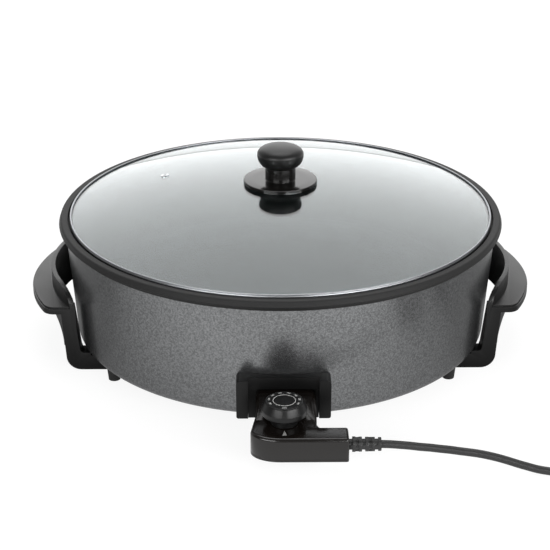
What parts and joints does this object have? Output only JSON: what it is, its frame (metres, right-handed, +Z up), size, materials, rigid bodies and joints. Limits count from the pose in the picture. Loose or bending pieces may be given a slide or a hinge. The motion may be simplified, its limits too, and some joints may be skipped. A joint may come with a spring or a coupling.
{
  "type": "electric skillet",
  "caption": "Round electric skillet with a lift-off domed glass lid, moulded handle legs and a plug-in temperature control on a mains cord.",
  "frame": {"origin": "on the worktop, below the middle of the footprint of the pan, handles and control, without the free cord", "axes": "+X to the right along the handles, +Y away from the control, +Z up out of the lid; the control is at the front, -Y"},
  "size_m": [0.5924, 0.4955, 0.2006],
  "materials": {
    "hammered_paint": "cast aluminium under grey hammered paint, satin",
    "heater_steel": "heat-dulled steel tube",
    "bright_steel": "bright",
    "ceramic": "unglazed ceramic",
    "black_plastic": "satin moulded plastic",
    "black_rubber": "matt",
    "contact_brass": "plain",
    "glass": "clear tempered glass"
  },
  "bodies": {
    "base": {"pan": "hammered_paint", "heating_element": "heater_steel", "terminal_pins": "bright_steel", "pin_insulators": "ceramic", "socket_shroud": "black_plastic", "shroud_screws": "bright_steel", "handle_left": "black_plastic", "handle_right": "black_plastic", "handle_screws": "bright_steel", "rubber_feet": "black_rubber", "foot_screws": "bright_steel"},
    "lid": {"lid_glass": "glass", "lid_band": "bright_steel", "vent_eyelet": "bright_steel", "knob_base": "black_plastic", "knob_head": "black_plastic", "knob_washer": "black_rubber", "knob_screw": "bright_steel"},
    "control": {"control_housing": "black_plastic", "control_cover": "black_plastic", "cover_screws": "bright_steel", "contact_sleeves": "contact_brass", "sensor_probe": "bright_steel", "thermostat": "ceramic", "strain_relief": "black_rubber", "mains_cord": "black_rubber", "cord_coil": "black_rubber", "cord_tail": "black_rubber", "cord_tie": "black_plastic", "plug_body": "black_plastic", "plug_pins": "bright_steel"},
    "temperature_dial": {"dial": "black_plastic", "dial_spindle": "bright_steel"}
  },
  "joints": [
    {"name": "lid_lift", "type": "slide", "parent": "base", "child": "lid", "axis": [0, 0, 1], "range_m": [0, 0.15]},
    {"name": "control_pull", "type": "slide", "parent": "base", "child": "control", "axis": [0, -1, 0], "range_m": [0, 0.06]},
    {"name": "dial_turn", "type": "hinge", "parent": "control", "child": "temperature_dial", "pos_m": [0, -0.2159, 0.05], "axis": [0, 0, 1], "range_deg": [0, 270]}
  ]
}
